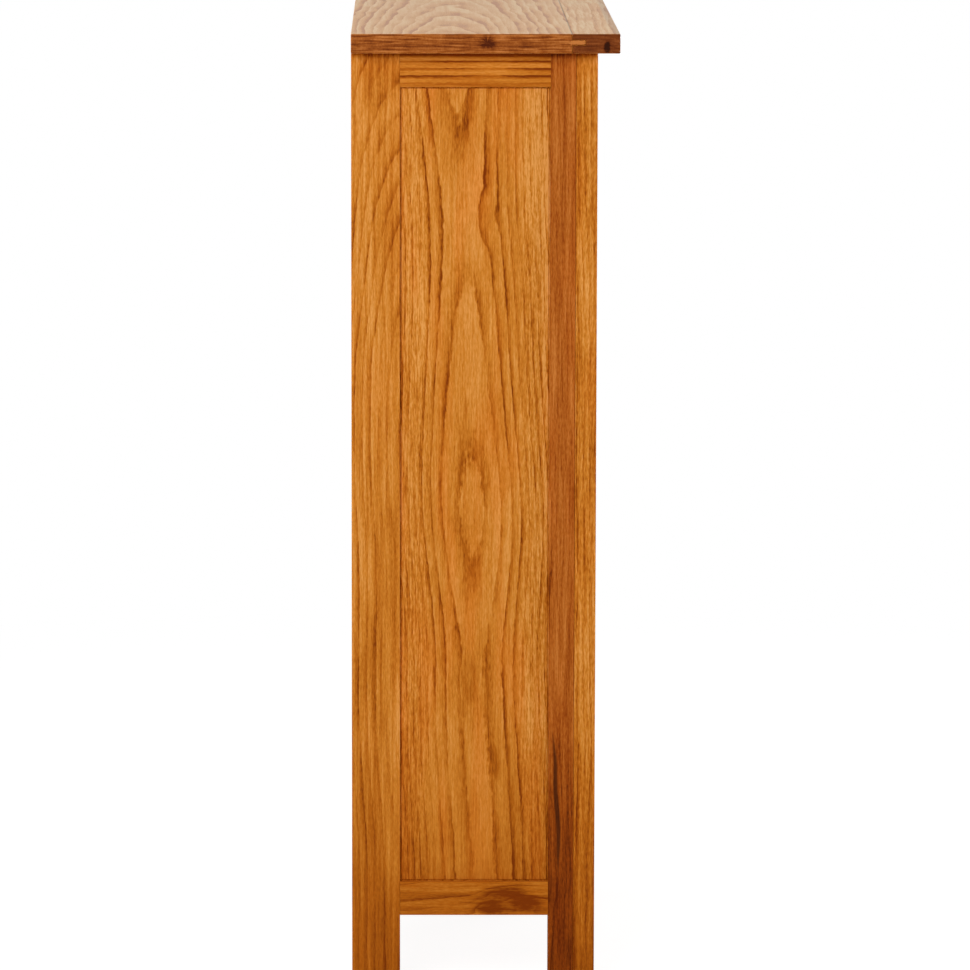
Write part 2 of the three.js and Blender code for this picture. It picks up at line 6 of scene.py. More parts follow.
import bpy
import numpy as np
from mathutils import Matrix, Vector

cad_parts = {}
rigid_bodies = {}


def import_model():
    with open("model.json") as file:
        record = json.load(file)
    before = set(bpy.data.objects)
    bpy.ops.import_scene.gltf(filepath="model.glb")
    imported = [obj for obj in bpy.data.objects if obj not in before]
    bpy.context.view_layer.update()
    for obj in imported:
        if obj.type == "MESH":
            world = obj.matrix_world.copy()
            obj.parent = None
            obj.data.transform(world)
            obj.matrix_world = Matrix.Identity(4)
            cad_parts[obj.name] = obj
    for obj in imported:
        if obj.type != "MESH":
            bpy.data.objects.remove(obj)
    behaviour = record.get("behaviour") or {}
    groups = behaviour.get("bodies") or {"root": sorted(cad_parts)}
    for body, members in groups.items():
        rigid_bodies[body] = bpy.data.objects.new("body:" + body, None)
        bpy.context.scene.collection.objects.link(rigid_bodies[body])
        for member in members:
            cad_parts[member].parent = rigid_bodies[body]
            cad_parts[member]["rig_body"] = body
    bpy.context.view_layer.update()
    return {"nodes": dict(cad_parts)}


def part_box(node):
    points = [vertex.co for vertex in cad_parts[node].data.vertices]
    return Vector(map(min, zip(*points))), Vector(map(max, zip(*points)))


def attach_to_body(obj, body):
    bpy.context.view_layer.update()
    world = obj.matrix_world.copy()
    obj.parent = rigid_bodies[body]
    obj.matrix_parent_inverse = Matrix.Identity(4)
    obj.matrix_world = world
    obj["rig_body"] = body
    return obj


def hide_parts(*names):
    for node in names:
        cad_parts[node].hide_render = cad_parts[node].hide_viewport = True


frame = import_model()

# The camera stands square to the left side, above the height of the top, and looks slightly
# down. It is far away, so that the sides stay nearly upright, and its shift moves the cabinet
# right of the lens axis without turning the camera.
side_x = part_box("back_leg_left")[0].x
camera_distance = 4.9
camera_y = 0.0657
camera_height = 1.162
aim_height = 0.437
focal_length = 217.2
frame_shift = 0.0806
view_reach = 50.0

camera_data = bpy.data.cameras.new("camera")
camera_data.lens = focal_length
camera_data.shift_x = frame_shift
camera_data.clip_end = view_reach
camera = bpy.data.objects.new("camera", camera_data)
camera.location = (side_x - camera_distance, camera_y, camera_height)
view_line = Vector((side_x, camera_y, aim_height)) - camera.location
camera.rotation_euler = view_line.to_track_quat("-Z", "Y").to_euler()
bpy.context.scene.collection.objects.link(camera)
bpy.context.scene.camera = camera
bpy.context.scene.view_settings.view_transform = "Standard"

# The studio: a pale floor that runs out to plain white, white all round for the camera and for
# reflections, and soft boxes on every side. Those at the front, right and back stand lower than
# the top, so that it mirrors none of them.
white = (1.0, 1.0, 1.0, 1.0)
room_light = 0.28
floor_radius = 3.2
floor_sides = 96
floor_glow = 0.90
floor_shade_albedo = (0.22, 0.22, 0.22, 1.0)
shade_radius = (0.55, 1.7)


class Wire:
    """One output of a node tree. + - * / and ** on it add Math nodes, and node() adds any node."""

    def __init__(self, tree, socket=None):
        self.tree = tree
        self.socket = socket

    def node(self, kind, settings=None, sockets=None, output=0):
        """Adds a node of this kind, with its settings first and then its sockets' values or links."""
        made = self.tree.nodes.new(kind)
        for name, value in (settings or {}).items():
            if name == "stops":
                for element, (place, tone) in zip(ramp_elements(made, len(value)), value):
                    element.position = place
                    element.color = tone
            else:
                setattr(made, name, value)
        for name, value in (sockets or {}).items():
            if isinstance(value, Wire):
                self.tree.links.new(value.socket, made.inputs[name])
            else:
                made.inputs[name].default_value = value
        return Wire(self.tree, made.outputs[output] if made.outputs else None)

    def math(self, operation, *values):
        """Adds a Math node on numbers or Wires."""
        return self.node("ShaderNodeMath", {"operation": operation}, dict(enumerate(values)))

    def __add__(self, other):
        return self.math("ADD", self, other)

    def __sub__(self, other):
        return self.math("SUBTRACT", self, other)

    def __rsub__(self, other):
        return self.math("SUBTRACT", other, self)

    def __mul__(self, other):
        return self.math("MULTIPLY", self, other)

    def __truediv__(self, other):
        return self.math("DIVIDE", self, other)

    def __pow__(self, power):
        return self.math("POWER", self, power)

    __radd__ = __add__
    __rmul__ = __mul__

    def between(self, low, high):
        """0 below low, 1 above high and a smooth step from the one to the other."""
        sockets = {"Value": self, "From Min": low, "From Max": high}
        return self.node("ShaderNodeMapRange", {"interpolation_type": "SMOOTHSTEP"}, sockets)


def ramp_elements(ramp, count):
    """The stops of a colour ramp, of which there are made to be this many."""
    elements = ramp.color_ramp.elements
    while len(elements) < count:
        elements.new(1.0)
    return elements


def paint(red, green, blue):
    """A colour given by its 0 to 255 display values, as the linear colour that a shader takes."""
    display = np.array([red, green, blue]) / 255.0
    linear = np.where(display <= 0.04045, display / 12.92, ((display + 0.055) / 1.055) ** 2.4)
    return (*linear.tolist(), 1.0)


def bare_tree(owner):
    """Empties the node tree of a new world or material, and gives the Wire that fills it."""
    owner.use_nodes = True
    owner.node_tree.nodes.clear()
    return Wire(owner.node_tree)


floor_albedo = paint(225, 225, 225)
world = bpy.data.worlds.new("studio")
sky = bare_tree(world)


def rays_that_see_white(wire):
    """1 for camera, mirror and glass rays, which are to meet plain white, and 0 for the others."""
    camera_ray = wire.node("ShaderNodeLightPath", output="Is Camera Ray")
    glossy_ray = wire.node("ShaderNodeLightPath", output="Is Glossy Ray")
    glass_ray = wire.node("ShaderNodeLightPath", output="Is Transmission Ray")
    return wire.math("MAXIMUM", wire.math("MAXIMUM", camera_ray, glossy_ray), glass_ray)


sky_strength = rays_that_see_white(sky) * (1.0 - room_light) + room_light
sky_glow = sky.node("ShaderNodeBackground", {}, {"Color": white, "Strength": sky_strength})
sky.node("ShaderNodeOutputWorld", {}, {"Surface": sky_glow})
bpy.context.scene.world = world


def softbox(name, place, aim, size, power):
    """A square area lamp at a place, turned to its aim."""
    lamp = bpy.data.lights.new(name, "AREA")
    lamp.size = size
    lamp.energy = power
    holder = bpy.data.objects.new(name, lamp)
    holder.location = place
    holder.rotation_euler = (Vector(aim) - Vector(place)).to_track_quat("-Z", "Y").to_euler()
    bpy.context.scene.collection.objects.link(holder)


softbox("key_softbox", (-2.1, 0.7, 1.4), (-0.2, 0.0, 0.45), 0.9, 27.0)
softbox("front_softbox", (-0.5, -2.2, 0.42), (0.0, -0.1, 0.42), 0.8, 19.0)
softbox("right_softbox", (1.9, -1.4, 0.42), (0.2, 0.0, 0.42), 0.8, 26.0)
softbox("back_softbox", (0.4, 2.3, 0.42), (0.0, 0.1, 0.42), 0.8, 22.0)
softbox("overhead_softbox", (-0.2, 0.1, 2.7), (0.0, 0.0, 0.8), 1.4, 12.0)

bpy.ops.mesh.primitive_circle_add(vertices=floor_sides, radius=floor_radius, fill_type="NGON")
floor = bpy.context.object
floor.name = "floor"
floor_material = bpy.data.materials.new("pale_floor")
ground = bare_tree(floor_material)
spot = ground.node("ShaderNodeTexCoord", output="Object")
reach = ground.node("ShaderNodeVectorMath", {"operation": "LENGTH"}, {0: spot}, "Value")
plain = reach.between(*shade_radius)
glow = ground.node("ShaderNodeEmission", {}, {"Color": white, "Strength": floor_glow})
shade = ground.node("ShaderNodeBsdfDiffuse", {}, {"Color": floor_shade_albedo})
lit = ground.node("ShaderNodeAddShader", {}, {0: glow, 1: shade})
full_glow = ground.node("ShaderNodeEmission", {}, {"Color": white, "Strength": 1.0})
seen = ground.node("ShaderNodeMixShader", {}, {0: plain, 1: lit, 2: full_glow})
bounce = ground.node("ShaderNodeBsdfDiffuse", {}, {"Color": floor_albedo})
surface = ground.node("ShaderNodeMixShader", {}, {0: rays_that_see_white(ground), 1: bounce, 2: seen})
ground.node("ShaderNodeOutputMaterial", {}, {"Surface": surface})
floor.data.materials.append(floor_material)

# The top: a main board and a narrower front strip of lacquered oak, with the grain running the
# width of the cabinet. The main board's tongue is glued into the strip's groove, and both show
# at the ends. All outer arrises are eased.
top_tongue_length = 0.011
top_tongue_thickness = 0.004
top_tongue_depth = 0.0053
top_groove_play = 0.0002
top_arris = 0.0011
seam_arris = 0.0004
square_arris = 0.00008
arris_steps = 4
axes = "xyz"


def outline(corners, arrises, inset=0.0):
    """A closed outline of square turns, rounded by arrises and drawn in by an inset.

    With m and n the inward normals of the edges before and after a corner c, and s = 1 where the
    outline turns left and -1 where it turns right, the round's centre is c + (inset + s r)(m + n)
    and its points are centre - s r (m cos t + n sin t) for t from 0 to a quarter turn.
    """
    corners = np.asarray(corners, float)
    before = corners - np.roll(corners, 1, axis=0)
    after = np.roll(corners, -1, axis=0) - corners
    turn = np.sign(before[:, 0] * after[:, 1] - before[:, 1] * after[:, 0])
    m, n = [
        np.stack([-edge[:, 1], edge[:, 0]], 1) / np.linalg.norm(edge, axis=1)[:, None]
        for edge in (before, after)
    ]
    radius = np.maximum(np.asarray(arrises) - turn * inset, square_arris / 4)
    signed = (turn * radius)[:, None]
    centre = corners + (inset + signed) * (m + n)
    t = np.linspace(0.0, np.pi / 2, arris_steps + 1)[None, :, None]
    points = centre[:, None] - signed[:, None] * (m[:, None] * np.cos(t) + n[:, None] * np.sin(t))
    return points.reshape(-1, 2)


def skin(name, rings):
    """A closed mesh over rings of points, an array of (ring, point, xyz), with flat ends.

    Seen from outside, a ring's points run anticlockwise when the next ring lies towards the eye.
    """
    count, size = rings.shape[:2]
    first = (np.arange(count - 1)[:, None] * size + np.arange(size)[None, :]).ravel()
    following = (np.arange(count - 1)[:, None] * size + np.roll(np.arange(size), -1)[None, :]).ravel()
    quads = np.stack([first, following, following + size, first + size], 1).tolist()
    ends = [list(range(size))[::-1], list(range((count - 1) * size, count * size))]
    mesh = bpy.data.meshes.new(name)
    mesh.from_pydata(rings.reshape(-1, 3).tolist(), [], quads + ends)
    mesh.update()
    piece = bpy.data.objects.new(name, mesh)
    bpy.context.scene.collection.objects.link(piece)
    return piece


def along_axis(axis, section, place):
    """Stands a flat section, given in the two axes that follow the named one, at a place on it."""
    w = axes.index(axis)
    points = np.empty((len(section), 3))
    points[:, (w + 1) % 3] = section[:, 0]
    points[:, (w + 2) % 3] = section[:, 1]
    points[:, w] = place
    return points


def eased_prism(name, axis, corners, arrises, span, end_arris):
    """A section carried along an axis, whose ends are rounded over like its arrises.

    Towards each end, for t from 0 to a quarter turn, the section is drawn in by e (1 - sin t)
    at e (1 - cos t) from the end, where e is the end's arris.
    """
    t = np.linspace(0.0, np.pi / 2, arris_steps + 1)
    insets = end_arris * (1 - np.sin(t))
    depths = end_arris * (1 - np.cos(t))
    low_end = [along_axis(axis, outline(corners, arrises, i), span[0] + d) for i, d in zip(insets, depths)]
    high_end = [along_axis(axis, outline(corners, arrises, i), span[1] - d) for i, d in zip(insets, depths)]
    return skin(name, np.array(low_end + high_end[::-1]))


def attach(piece, node, material):
    """Puts a finished piece on the body that a node is on."""
    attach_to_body(piece, frame["nodes"][node]["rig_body"])
    piece.data.materials.append(material)


def fit(piece, node, material):
    """Puts a finished piece in place of its plain solid, on the same body."""
    attach(piece, node, material)
    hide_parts(node)


# Lacquered oak. The tones run from clean late wood to open early wood. The end tones are deeper,
# because end grain drinks the finish. The top's upper face is paled by a painted reflection of the
# bright room. Towards the floor, painted shade darkens the wood and veils the grain, and a painted
# shadow darkens the corner under the top.
honey_tones = [paint(230, 158, 80), paint(206, 127, 40), paint(178, 96, 15), paint(126, 53, 0)]
russet_tones = [paint(202, 122, 52), paint(178, 96, 28), paint(150, 69, 9), paint(92, 33, 0)]
end_tones = [paint(192, 117, 56), paint(158, 85, 30), paint(126, 60, 16), paint(80, 30, 5)]
dark_end_tones = [paint(144, 78, 34), paint(116, 55, 18), paint(94, 40, 10), paint(50, 18, 3)]
# Paler tones for a painted reflection on the top's upper face.
painted_sheen_tones = [paint(222, 182, 124), paint(209, 153, 80), paint(200, 134, 48), paint(176, 104, 20)]
# The tone of dark splits, also laid as a band of painted shade.
split_and_shade_tone = paint(52, 20, 4)
tone_places = (0.0, 0.35, 0.65, 1.0)
red_cast = (1.0, 0.84, 0.66, 1.0)
millimetres = 1000.0
seed_step_along = 7.31
seed_step_across = 3.17
# Painted shade that darkens the wood and veils its grain towards the floor.
painted_floor_shade = 0.36
painted_floor_shade_veil = 0.45
painted_floor_shade_height = 280.0
# Painted shadow in the band just under the top.
painted_under_top_shadow = 0.6
painted_under_top_shadow_height = 6.5
frame_top_play = 0.05
frame_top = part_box("back_leg_left")[1].z * millimetres + frame_top_play
early_wood_start = 0.12
faintest_ring = 0.3
ring_patchiness = 2.2
ring_dark = 0.55
pore_dark = 0.05
ring_pore_dark = 0.25
fibre_dark = 0.95
fleck_dark = 0.8
cloud_dark = 0.5
knot_raggedness = 0.8
knot_edge = 1.5
split_core = 0.3
painted_sheen_skin = (0.3, 1.2)
end_skin = (0.25, 0.75)
end_clean_tone = 0.30
end_ring_dark = 0.20
end_speck_dark = 0.4
end_cloud_dark = 0.6
end_waver_across = 4.0
end_waver_depth = 2.6
pith_spokes = 1.9
mark_raggedness = 1.2
grain_bump = 0.4
grain_bump_depth = 0.00025
wood_roughness = 0.50
open_grain_roughness = 0.15
end_roughness = 0.08
wood_specular = 0.05
coat_roughness = 0.30


def oak(name, low, high, grain, face, heart, ring=4.5, lean=0.0, arches=(), drop=(0.0, 0.0, 150.0),
        wander=3.0, jag=1.2, sway=16.0, tones=honey_tones, tone=0.36, figure=1.0, fibre=1.0, streak=0.7,
        cast=0.55, coat=0.0, painted_sheen=False, crisp=3.4, rift=None, knots_and_highlights=(), shakes_and_shade_bands=(), ends=None, seed=1.0,
        years=0.0):
    """Oak cut from a log: growth rings round a heart line, pores, fibres and end grain.

    Lengths are millimetres from the board's middle. heart is the heart line's place across the
    face and in depth. R is the distance to it, after it leans across by lean for each millimetre
    along. Beyond g0 each arch (g0, k, w) sinks it by k (sqrt((g - g0)^2 + w^2) - w), and before g0
    the drop (g0, height, length) sinks it by a smooth step of this height over this length.
    The heart line bends by sway, and the rings waver by wander over a hand's length and by jag
    over a finger's width. A ring ends at each whole R / ring, where open early wood starts sharply
    and then fades as (1 - f)^crisp, f being the part of the ring that is passed. years picks
    another run of strong and faint rings.
    On a scale where 1 is the darkest of the tones, tone is the clean wood's, and figure, fibre and
    streak are the strengths of the rings, the fibres and the long streaks. cast is the strength of the
    reddish clouds and coat that of a gloss coat on the faces. A board with a painted sheen has its
    upper face paled by a painted reflection of the bright room. seed shifts all the noise, and ends
    changes the settings of the end grain.
    rift (from, to, gain) strengthens the fibres by the gain from one distance off the middle line
    to the other.
    A knot (along, across, half length, half width, swelling, darkness) pushes the rings apart and
    darkens the wood. Where its darkness is below 0 it pales the wood instead, and a long narrow one
    paints a highlight along an arris. A shake (along, across, half length, half width, slant,
    wobble, darkness) is a dark split, and a broad one paints a band of shade along an edge.
    """
    material = bpy.data.materials.new(name)
    wood = bare_tree(material)
    middle = (np.array(low) + np.array(high)) / 2 * millimetres
    half_length = (high[axes.index(grain)] - low[axes.index(grain)]) / 2 * millimetres
    place = wood.node("ShaderNodeTexCoord", output="Object")
    width_axis = axes.replace(grain, "").replace(face, "")

    def coordinate(axis):
        """Millimetres from the board's middle along an axis."""
        number = axes.index(axis)
        value = wood.node("ShaderNodeSeparateXYZ", {}, {"Vector": place}, number)
        return value * millimetres - float(middle[number])

    along, across, depth = coordinate(grain), coordinate(width_axis), coordinate(face)

    def noise(length, width, detail=0.0, shift=0.0, thickness=None):
        """Noise about 0, in blotches that are about this long, wide and thick."""
        point = wood.node("ShaderNodeCombineXYZ", {}, {
            "X": along / length + (seed * seed_step_along + shift),
            "Y": across / width + seed * seed_step_across,
            "Z": depth / (thickness or width),
        })
        sockets = {"Vector": point, "Scale": 1.0, "Detail": detail}
        return wood.node("ShaderNodeTexNoise", {}, sockets) - 0.5

    def mixed(amount, under, over, blend="MIX"):
        """One colour laid over another by an amount."""
        settings = {"data_type": "RGBA", "blend_type": blend}
        return wood.node("ShaderNodeMix", settings, {0: amount, 6: under, 7: over}, 2)

    drop_start, drop_height, drop_length = drop
    sunk = (drop_start - along).between(0.0, drop_length) * drop_height
    for crown, sink, round_width in arches:
        beyond = wood.math("MAXIMUM", along - crown, 0.0)
        sunk = ((beyond * beyond + round_width ** 2) ** 0.5 - round_width) * sink + sunk
    side = float(np.sign(heart[1]))
    to_heart_across = across - heart[0] - along * lean - noise(170.0, 120.0) * sway
    to_heart_depth = depth - heart[1] - sunk * side
    radius = (to_heart_across ** 2 + to_heart_depth ** 2) ** 0.5
    radius = radius + noise(75.0, 22.0, detail=1.0, shift=4.0) * wander
    radius = radius + noise(8.0, 3.5, detail=2.0, shift=9.0) * jag
    dark = tone
    for knot_along, knot_across, knot_length, knot_width, swelling, darkness in knots_and_highlights:
        down = (along - knot_along) / knot_length
        down = down + noise(30.0, 30.0, detail=1.0, shift=11.0) * knot_raggedness
        over = (across - knot_across) / knot_width
        over = over + noise(24.0, 24.0, detail=1.0, shift=8.0) * knot_raggedness
        near = 1.0 - (down ** 2 + over ** 2).between(0.0, knot_edge)
        radius = radius - near * swelling
        dark = near * darkness + dark
    count = radius / ring
    ring_number = wood.math("FLOOR", count)
    fade = wood.math("FRACT", count)
    ring_place = {"W": ring_number + (seed + years)}
    ring_depth = wood.node("ShaderNodeTexWhiteNoise", {"noise_dimensions": "1D"}, ring_place)
    early = (1.0 - fade) ** crisp * fade.between(0.0, early_wood_start)
    early = early * (ring_depth + faintest_ring) * (noise(50.0, 12.0, shift=2.0) * ring_patchiness + 1.0)

    pores = noise(7.0, 0.8, detail=1.0, shift=5.0).between(0.0, 0.2)
    fibres = noise(34.0, 1.5, detail=2.0, shift=1.0)
    flecks = noise(4.5, 1.0, detail=1.0, shift=3.0)
    streaks = noise(110.0, 3.6, detail=1.0, shift=21.0)
    cloud = noise(150.0, 30.0, detail=1.0, shift=6.0)
    grain_dark = early * (ring_dark * figure) + pores * (early * (ring_pore_dark * figure) + pore_dark)
    texture = fibres * (fibre_dark * fibre) + flecks * (fleck_dark * fibre)
    if rift:
        rift_start, rift_full, rift_gain = rift
        off_middle = wood.math("ABSOLUTE", across).between(rift_start, rift_full)
        texture = texture * (off_middle * (rift_gain - 1.0) + 1.0)
    grain_dark = grain_dark + texture + streaks * streak + cloud * cloud_dark
    # Painted shade: towards the floor the wood is darker and its grain veiled, standing in for the light
    # that falls off there.
    height = wood.node("ShaderNodeSeparateXYZ", {}, {"Vector": place}, 2) * millimetres
    painted_floor_shade_mask = 1.0 - height.between(0.0, painted_floor_shade_height)
    dark = grain_dark * (1.0 - painted_floor_shade_mask * painted_floor_shade_veil) + dark + painted_floor_shade_mask * painted_floor_shade
    # Painted shadow: the wood is darkened in a band just under the top's overhang.
    under_top = wood.math("LESS_THAN", height, frame_top)
    painted_under_top_shadow_mask = height.between(frame_top - painted_under_top_shadow_height, frame_top) * under_top
    dark = dark + painted_under_top_shadow_mask * painted_under_top_shadow
    shade = wood.node("ShaderNodeValToRGB", {"stops": list(zip(tone_places, tones))}, {"Fac": dark})
    reddish = noise(120.0, 18.0, detail=1.0, shift=25.0).between(-0.05, 0.25) * cast
    shade = mixed(reddish, shade, red_cast, "MULTIPLY")
    # Painted reflection: the upper face takes paler tones that stand in for the bright room mirrored at a
    # low view.
    if painted_sheen:
        half_thickness = (high[2] - low[2]) / 2 * millimetres
        painted_sheen_stops = list(zip(tone_places, painted_sheen_tones))
        painted_sheen_shade = wood.node("ShaderNodeValToRGB", {"stops": painted_sheen_stops}, {"Fac": dark})
        painted_sheen_face = depth.between(half_thickness - painted_sheen_skin[1], half_thickness - painted_sheen_skin[0])
        shade = mixed(painted_sheen_face, shade, painted_sheen_shade)
    # Dark splits, and broad bands of painted shade along an edge.
    for shake_along, shake_across, shake_length, shake_width, slant, wobble, darkness in shakes_and_shade_bands:
        down = (along - shake_along) / shake_length
        middle_line = down * slant + noise(60.0, 60.0, detail=1.0, shift=8.0) * wobble + shake_across
        over = (across - middle_line) / shake_width
        split_and_shade = (1.0 - (down ** 2 + over ** 2).between(split_core, 1.0)) * darkness
        shade = mixed(split_and_shade, shade, split_and_shade_tone)

    end = {"heart": (0.0, 0.0), "flat": 0.5, "ring": 2.6, "tones": end_tones, "pith": 0.0, "streak": 1.5,
           "marks": ()}
    end.update(ends or {})
    end_across = across - end["heart"][0] + noise(30.0, 30.0, detail=1.0, shift=14.0) * end_waver_across
    end_depth = depth - end["heart"][1] + noise(60.0, 16.0, detail=1.0, shift=15.0) * end_waver_depth
    end_radius = ((end_across * end["flat"]) ** 2 + end_depth ** 2) ** 0.5
    end_count = end_radius / end["ring"]
    end_fade = wood.math("FRACT", end_count)
    end_specks = noise(3.0, 1.4, detail=1.0, shift=16.0) * end_speck_dark
    end_dark = (1.0 - end_fade) ** 2.0 * end_ring_dark + end_specks + end_clean_tone
    end_dark = end_dark + noise(40.0, 28.0, detail=2.0, shift=17.0, thickness=1.5) * end["streak"]
    end_dark = end_dark + noise(40.0, 9.0, detail=1.0, shift=18.0) * end_cloud_dark
    if end["pith"]:
        angle = wood.math("ARCTAN2", end_across, end_depth)
        spoke_place = {"W": angle * pith_spokes, "Scale": 1.0}
        spoke = wood.node("ShaderNodeTexNoise", {"noise_dimensions": "1D"}, spoke_place)
        pith_radius = (end_across ** 2 + end_depth ** 2) ** 0.5
        pith = 1.0 - (pith_radius / end["pith"]).between(0.15, 1.25)
        end_dark = end_dark + pith * (spoke.between(0.38, 0.62) * 0.65 + 0.35)
    for mark_across, mark_depth, mark_width, mark_height, darkness in end["marks"]:
        over = (across - mark_across) / mark_width
        over = over + noise(9.0, 9.0, detail=1.0, shift=18.0) * mark_raggedness
        up = (depth - mark_depth) / mark_height
        up = up + noise(9.0, 9.0, detail=1.0, shift=19.0) * mark_raggedness
        end_dark = end_dark + (1.0 - (over ** 2 + up ** 2).between(0.2, 1.2)) * darkness
    end_stops = list(zip(tone_places, end["tones"]))
    end_shade = wood.node("ShaderNodeValToRGB", {"stops": end_stops}, {"Fac": end_dark})
    at_end = wood.math("ABSOLUTE", along).between(half_length - end_skin[1], half_length - end_skin[0])

    colour = mixed(at_end, shade, end_shade)
    open_grain = early * 0.5 + pores * 0.5
    bump = wood.node("ShaderNodeBump", {}, {
        "Strength": grain_bump,
        "Distance": grain_bump_depth,
        "Height": fibres * 0.6 - open_grain,
    })
    finish = wood.node("ShaderNodeBsdfPrincipled", {}, {
        "Base Color": colour,
        "Roughness": open_grain * open_grain_roughness + at_end * end_roughness + wood_roughness,
        "Specular IOR Level": wood_specular,
        "Coat Weight": (1.0 - at_end) * coat if coat else 0.0,
        "Coat Roughness": coat_roughness,
        "Normal": bump,
    })
    wood.node("ShaderNodeOutputMaterial", {}, {"Surface": finish})
    return material


main_low, main_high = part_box("top_main_board")
strip_low, strip_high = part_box("top_front_strip")
seam_y = main_low.y + top_tongue_length
tongue_high = main_high.z - top_tongue_depth
tongue_low = tongue_high - top_tongue_thickness
main_corners = [
    (seam_y, main_low.z), (main_high.y, main_low.z), (main_high.y, main_high.z),
    (seam_y, main_high.z), (seam_y, tongue_high), (main_low.y, tongue_high),
    (main_low.y, tongue_low), (seam_y, tongue_low),
]
main_arrises = [seam_arris, top_arris, top_arris, seam_arris] + [square_arris] * 4
groove_high = tongue_high + top_groove_play
groove_low = tongue_low - top_groove_play
groove_y = main_low.y - top_groove_play
strip_corners = [
    (strip_low.y, strip_low.z), (strip_high.y, strip_low.z), (strip_high.y, groove_low),
    (groove_y, groove_low), (groove_y, groove_high), (strip_high.y, groove_high),
    (strip_high.y, strip_high.z), (strip_low.y, strip_high.z),
]
strip_arrises = [top_arris, seam_arris] + [square_arris] * 4 + [seam_arris, top_arris]
top_span = (main_low.x, main_high.x)
# Both top boards are given a painted reflection that pales their upper faces.
fit(
    eased_prism("oak_top_main_board", "x", main_corners, main_arrises, top_span, top_arris),
    "top_main_board",
    oak("main_board_oak", (main_low.x, seam_y, main_low.z), main_high, "x", "z", (8.0, -30.0),
        ring=6.5, arches=[(-300.0, 0.05, 25.0)], wander=7.0, jag=0.7, sway=8.0, fibre=0.4, figure=1.6,
        streak=0.5, crisp=1.5, tone=0.18, cast=0.2, coat=0.45, painted_sheen=True, seed=2.0,
        shakes_and_shade_bands=[(0.0, -92.2, 400.0, 0.9, 0.0, 0.0, 0.5)],
        ends={"heart": (-20.8, 1.3), "flat": 0.04, "ring": 3.1, "pith": 7.0, "streak": 1.6,
              "marks": [(-98.0, 0.95, 8.0, 2.8, -0.65), (-10.0, -1.5, 140.0, 4.0, 0.14)]}),
)
fit(
    eased_prism("oak_top_front_strip", "x", strip_corners, strip_arrises, top_span, top_arris),
    "top_front_strip",
    oak("front_strip_oak", strip_low, strip_high, "x", "z", (60.0, -12.0), ring=6.5, wander=7.0, jag=0.7,
        sway=8.0, fibre=0.9, figure=1.1, streak=1.2, crisp=2.0, tone=0.22, cast=0.3, coat=0.45,
        # The broad shake along the front edge is painted shade on the rounded arris.
        painted_sheen=True, seed=3.0, shakes_and_shade_bands=[(0.0, -19.0, 400.0, 7.0, 0.0, 0.0, 0.3)],
        ends={"tones": dark_end_tones, "heart": (8.0, -20.0), "ring": 3.4, "streak": 0.8,
              "marks": [(-9.0, -3.0, 3.2, 4.5, 0.7)]}),
)

# The side frames: in each, a broad back leg and a narrow dark front leg with two rails tenoned
# between them, flush outside. A solid panel floats in their grooves, and its field stands proud
# of its tongue, so that a thin shadow line runs all round it.
leg_arris = 0.0008
rail_arris = 0.0004
joint_arris = 0.0001
field_gap = 0.001
field_rise = 0.0009
field_arris = 0.0007
field_step = 0.00002
field_arris_steps = 3


def rectangle(low, high, axis):
    """The corners of a box's section, anticlockwise, in the two axes that follow the named one."""
    u = (axes.index(axis) + 1) % 3
    v = (axes.index(axis) + 2) % 3
    return [(low[u], low[v]), (high[u], low[v]), (high[u], high[v]), (low[u], high[v])]


def shoulders(low, high, axis, tenon):
    """A rail's span between its shoulders, which is its box less a tenon at each end."""
    w = axes.index(axis)
    return low[w] + tenon, high[w] - tenon


def board(name, node, axis, arrises, end_arris, tenon=0.0):
    """A sawn board with its grain along an axis, in the place of a node without its tenons."""
    low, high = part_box(node)
    span = shoulders(low, high, axis, tenon)
    return eased_prism(name, axis, rectangle(low, high, axis), arrises, span, end_arris)


def floating_panel(name, node, face, outward, opening_low, opening_high):
    """A panel with a raised field: the section has a step on its face, which ends short of the
    panel's two ends, and there the face drops to the tongue between two rings at one height.
    """
    low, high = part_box(node)
    face_number = axes.index(face)
    face_high = high[face_number] if outward > 0 else low[face_number]
    back = low[face_number] if outward > 0 else high[face_number]
    tongue = face_high - outward * field_rise
    width_number = 1 - face_number
    edges = (low[width_number], high[width_number])
    field = (opening_low[width_number] + field_gap, opening_high[width_number] - field_gap)

    def section(front):
        """The stepped outline in (width, face), turned to run anticlockwise in (x, y)."""
        points = [
            (edges[0], back), (edges[1], back), (edges[1], tongue), (field[1], tongue),
            (field[1], front), (field[0], front), (field[0], tongue), (edges[0], tongue),
        ]
        if face == "x":
            points = [(v, u) for u, v in points]
        clockwise = (outward > 0) == (face == "x")
        return points[::-1] if clockwise else points

    flat = tongue + outward * field_step
    arrises = [square_arris] * 8
    raised = section(face_high)
    fronts = [i for i, corner in enumerate(raised) if abs(corner[face_number] - face_high) < field_step / 4]
    eased = [field_arris if i in fronts else square_arris for i in range(8)]
    t = np.linspace(0.0, np.pi / 2, field_arris_steps + 1)
    rings = [along_axis("z", outline(section(flat), arrises), low.z)]
    heights = [(opening_low.z + field_gap, 1.0), (opening_high.z - field_gap, -1.0)]
    for start, direction in heights:
        risen = [
            along_axis("z", outline(section(face_high - outward * field_arris * (1 - np.sin(a))), eased),
                       start + direction * field_arris * (1 - np.cos(a)))
            for a in t
        ]
        flat_ring = [along_axis("z", outline(section(flat), arrises), start)]
        rings += flat_ring + risen if direction > 0 else risen[::-1] + flat_ring
    rings.append(along_axis("z", outline(section(flat), arrises), high.z))
    return skin(name, np.array(rings))


